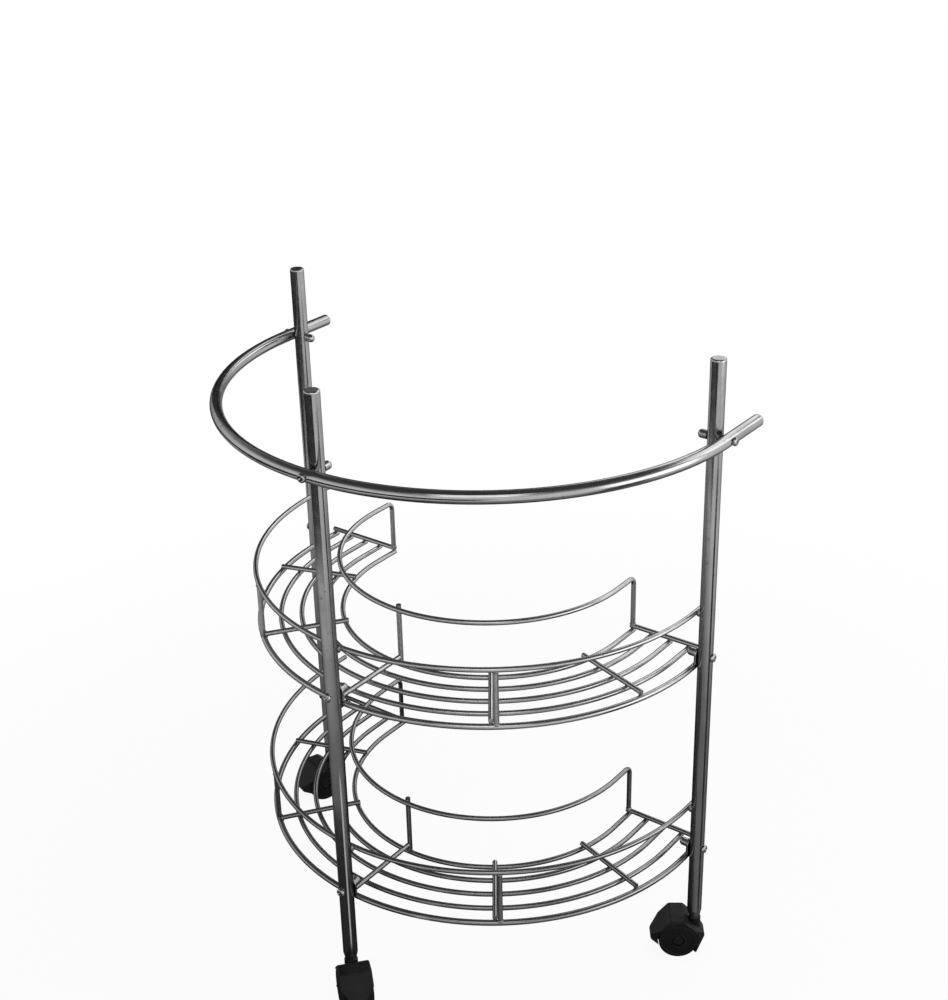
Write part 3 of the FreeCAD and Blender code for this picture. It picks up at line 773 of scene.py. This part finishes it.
def graded_card_finish():
    """A painted shadow of the object for the chrome to mirror: dark under the object, an even grey round it
    and paling to white further out.
    """
    finish, tree = new_finish("graded studio card")
    away = object_reach(tree)
    inner = remap(tree, away, low=0.2, high=0.32, to_low=0.04, to_high=0.28, ease="SMOOTHSTEP")
    outer = remap(tree, away, low=0.55, high=1.2, to_low=0.0, to_high=0.72, ease="SMOOTHSTEP")
    level = calculate(tree, "ADD", inner, outer)
    show(tree, add(tree, "ShaderNodeEmission", {"Color": WHITE, "Strength": level}))
    return finish


def make_cards():
    """Cards that put dark bands and a thin streak into the legs, and shade into the rail and wires."""
    dark = plain_card_finish("dark studio card", level=0.05)
    light = plain_card_finish("light studio card", level=1.0)
    graded = graded_card_finish()
    front_leg = LEGS["front"][0]
    right_leg = LEGS["right"][0]
    make_floor_card("graded_card", graded, Vector(), turn=(0, 360), reach=(0.0001, 1.4), lift=0.001)
    make_floor_card("front_card", dark, front_leg, turn=(-175, -38), reach=(0.012, 0.3), lift=0.002)
    make_floor_card("side_card", dark, front_leg, turn=(-12, 60), reach=(0.012, 0.2), lift=0.002)
    make_floor_card("right_card", dark, right_leg, turn=(-15, 12), reach=(0.06, 1.25), lift=0.002)
    make_floor_card("far_card", dark, front_leg, turn=(-175, -50), reach=(0.9, 4.0), lift=0.003)
    make_floor_card("left_card", dark, front_leg, turn=(-227, -175), reach=(1.55, 4.0), lift=0.003)
    make_upright_card("slim_card", light, (0.072, -0.271, 0), (-0.9, 0.44, 0), width=0.028, height=0.2)
    make_upright_card("back_card", dark, (-1.08, 0.75, 0.5), (0.62, -0.78, 0), width=1.1, height=0.75)
    make_upright_card("tail_card", dark, (0.28, 0.85, 0.72), (-0.5, -0.86, 0), width=0.36, height=0.36)


def make_world():
    """Even light from the sides that dims overhead."""
    world = bpy.data.worlds.new("soft studio")
    scene.world = world
    world.use_nodes = True
    tree = world.node_tree
    tree.nodes.clear()
    way = add(tree, "ShaderNodeTexCoord").outputs["Generated"]
    height = add(tree, "ShaderNodeSeparateXYZ", {0: way}).outputs["Z"]
    strength = remap(tree, height, low=0.16, high=0.72, to_low=1.0, to_high=0.07, ease="SMOOTHSTEP")
    glow = add(tree, "ShaderNodeBackground", {"Color": WHITE, "Strength": strength})
    out = add(tree, "ShaderNodeOutputWorld")
    tree.links.new(glow.outputs[0], out.inputs["Surface"])


def make_lamp(name, place, aim, size, brightness, mirrored=True):
    """A soft panel of even brightness, which the chrome mirrors or not."""
    lamp = bpy.data.lights.new(name, "AREA")
    lamp.shape = "RECTANGLE"
    lamp.size, lamp.size_y = size
    lamp.energy = brightness * math.pi * size[0] * size[1]
    item = put_in_scene(name, lamp)
    item.location = place
    item.rotation_euler = (Vector(aim) - Vector(place)).to_track_quat("-Z", "Y").to_euler()
    item.visible_camera = False
    item.visible_glossy = mirrored


def make_lamps():
    low_aim = (0, 0, 0.3)
    make_lamp("overhead_fill", (0.1, -0.2, 2.4), low_aim, size=(2.2, 2.2), brightness=1.2, mirrored=False)
    make_lamp("key_softbox", (0.75, -1.15, 1.55), low_aim, size=(0.9, 0.9), brightness=1.6)
    make_lamp("right_panel", (1.2, 0.15, 0.6), (0, 0, 0.35), size=(0.9, 0.7), brightness=1.6)
    make_lamp("back_panel", (0.35, 1.1, 1.28), (0.1, 0, 0.5), size=(2.0, 0.75), brightness=1.7)
    make_lamp("left_strip", (-1.2, -0.9, 0.5), low_aim, size=(0.4, 0.9), brightness=1.4, mirrored=False)


def make_camera():
    """The photo's camera, from lines fitted to the rings, rail and legs."""
    lens = bpy.data.cameras.new("photo_camera")
    lens.sensor_width = SENSOR_WIDTH
    lens.lens = FOCAL_LENGTH
    item = put_in_scene("photo_camera", lens)
    heading = Matrix.Rotation(CAMERA_HEADING, 4, "Z")
    tilt = Matrix.Rotation(math.pi / 2 - CAMERA_DIP, 4, "X")
    roll = Matrix.Rotation(CAMERA_ROLL, 4, "Z")
    item.matrix_world = Matrix.Translation(CAMERA_PLACE) @ heading @ tilt @ roll
    scene.camera = item


make_floor()
make_cards()
make_world()
make_lamps()
make_camera()
scene.view_settings.view_transform = "Standard"
